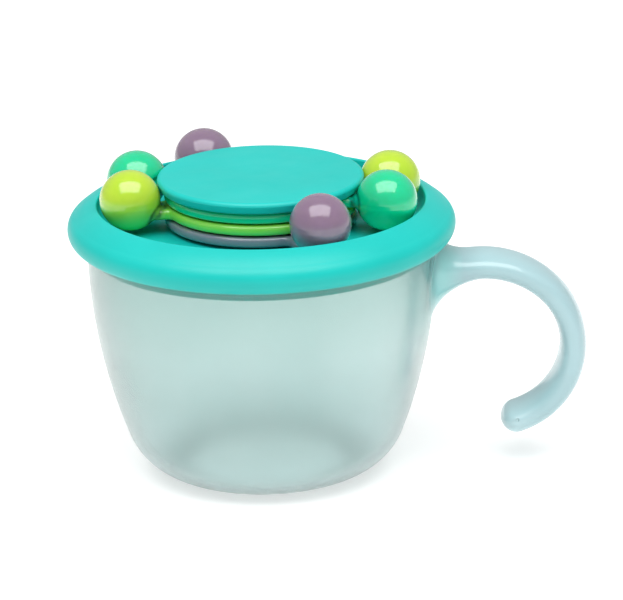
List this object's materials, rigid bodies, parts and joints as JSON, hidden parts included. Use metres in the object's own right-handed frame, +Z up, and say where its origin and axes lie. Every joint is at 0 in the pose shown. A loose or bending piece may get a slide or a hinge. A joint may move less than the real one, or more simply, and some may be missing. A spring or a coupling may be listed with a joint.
{
  "type": "toddler snack container",
  "caption": "Round snack cup with an open side handle, a soft slit trap in its mouth and a push-on lid with a tray of spinning bead rings.",
  "frame": {"origin": "middle of the cup's flat base, on the surface it stands on", "axes": "+X from the cup's axis towards the handle, +Z up along the cup's axis, the pictured side faces -Y"},
  "size_m": [0.1234, 0.0924, 0.0764],
  "materials": {
    "frosted_cup": "cloudy translucent polypropylene, faint blue-green, smooth gloss",
    "frosted_handle": "the same cloudy polypropylene, deeper in the solid handle",
    "soft_trap": "soft teal elastomer, satin",
    "lid_teal": "smooth teal polypropylene, soft gloss",
    "hub_teal": "smooth teal polypropylene",
    "cap_teal": "smooth teal polypropylene, soft gloss",
    "mint_ring": "mint green plastic, glossy",
    "mint_bead_top": "mint green plastic, glossy",
    "lime_ring": "lime green plastic, glossy",
    "lime_bead_top": "lime yellow-green plastic, glossy",
    "purple_ring": "dusty purple plastic, glossy",
    "purple_bead_top": "dusty purple plastic, glossy"
  },
  "bodies": {
    "cup": {"cup": "frosted_cup", "handle": "frosted_handle"},
    "trap": {"trap_rim": "soft_trap"},
    "flap_1": {"finger_flap_1": "soft_trap"},
    "flap_2": {"finger_flap_2": "soft_trap"},
    "flap_3": {"finger_flap_3": "soft_trap"},
    "flap_4": {"finger_flap_4": "soft_trap"},
    "flap_5": {"finger_flap_5": "soft_trap"},
    "flap_6": {"finger_flap_6": "soft_trap"},
    "lid": {"lid_tray": "lid_teal", "hub": "hub_teal", "cap_disc": "cap_teal"},
    "mint_arm": {"mint_ring": "mint_ring", "mint_bead_top_1": "mint_bead_top", "mint_bead_top_2": "mint_bead_top"},
    "lime_arm": {"lime_ring": "lime_ring", "lime_bead_top_1": "lime_bead_top", "lime_bead_top_2": "lime_bead_top"},
    "purple_arm": {"purple_ring": "purple_ring", "purple_bead_top_1": "purple_bead_top", "purple_bead_top_2": "purple_bead_top"}
  },
  "joints": [
    {"name": "trap_lift", "type": "slide", "parent": "cup", "child": "trap", "axis": [0, 0, 1], "range_m": [0, 0.04]},
    {"name": "lid_lift", "type": "slide", "parent": "trap", "child": "lid", "axis": [0, 0, 1], "range_m": [0, 0.04]},
    {"name": "mint_spin", "type": "hinge", "parent": "lid", "child": "mint_arm", "pos_m": [0, 0, 0.0688], "axis": [0, 0, 1], "continuous": true},
    {"name": "lime_swing", "type": "hinge", "parent": "mint_arm", "child": "lime_arm", "pos_m": [0, 0, 0.0659], "axis": [0, 0, 1], "range_deg": [-2.5, 46]},
    {"name": "purple_swing", "type": "hinge", "parent": "mint_arm", "child": "purple_arm", "pos_m": [0, 0, 0.063], "axis": [0, 0, 1], "range_deg": [-31, 17]},
    {"name": "flap_1_bend", "type": "hinge", "parent": "trap", "child": "flap_1", "pos_m": [0.02442, 0.0141, 0.0574], "axis": [0.5, -0.866, 0], "range_deg": [-3, 65], "stiffness_Nm_per_rad": 0.02},
    {"name": "flap_2_bend", "type": "hinge", "parent": "trap", "child": "flap_2", "pos_m": [0, 0.0282, 0.0574], "axis": [1, 0, 0], "range_deg": [-3, 65], "stiffness_Nm_per_rad": 0.02},
    {"name": "flap_3_bend", "type": "hinge", "parent": "trap", "child": "flap_3", "pos_m": [-0.02442, 0.0141, 0.0574], "axis": [0.5, 0.866, 0], "range_deg": [-3, 65], "stiffness_Nm_per_rad": 0.02},
    {"name": "flap_4_bend", "type": "hinge", "parent": "trap", "child": "flap_4", "pos_m": [-0.02442, -0.0141, 0.0574], "axis": [-0.5, 0.866, 0], "range_deg": [-3, 65], "stiffness_Nm_per_rad": 0.02},
    {"name": "flap_5_bend", "type": "hinge", "parent": "trap", "child": "flap_5", "pos_m": [0, -0.0282, 0.0574], "axis": [-1, 0, 0], "range_deg": [-3, 65], "stiffness_Nm_per_rad": 0.02},
    {"name": "flap_6_bend", "type": "hinge", "parent": "trap", "child": "flap_6", "pos_m": [0.02442, -0.0141, 0.0574], "axis": [-0.5, -0.866, 0], "range_deg": [-3, 65], "stiffness_Nm_per_rad": 0.02}
  ]
}
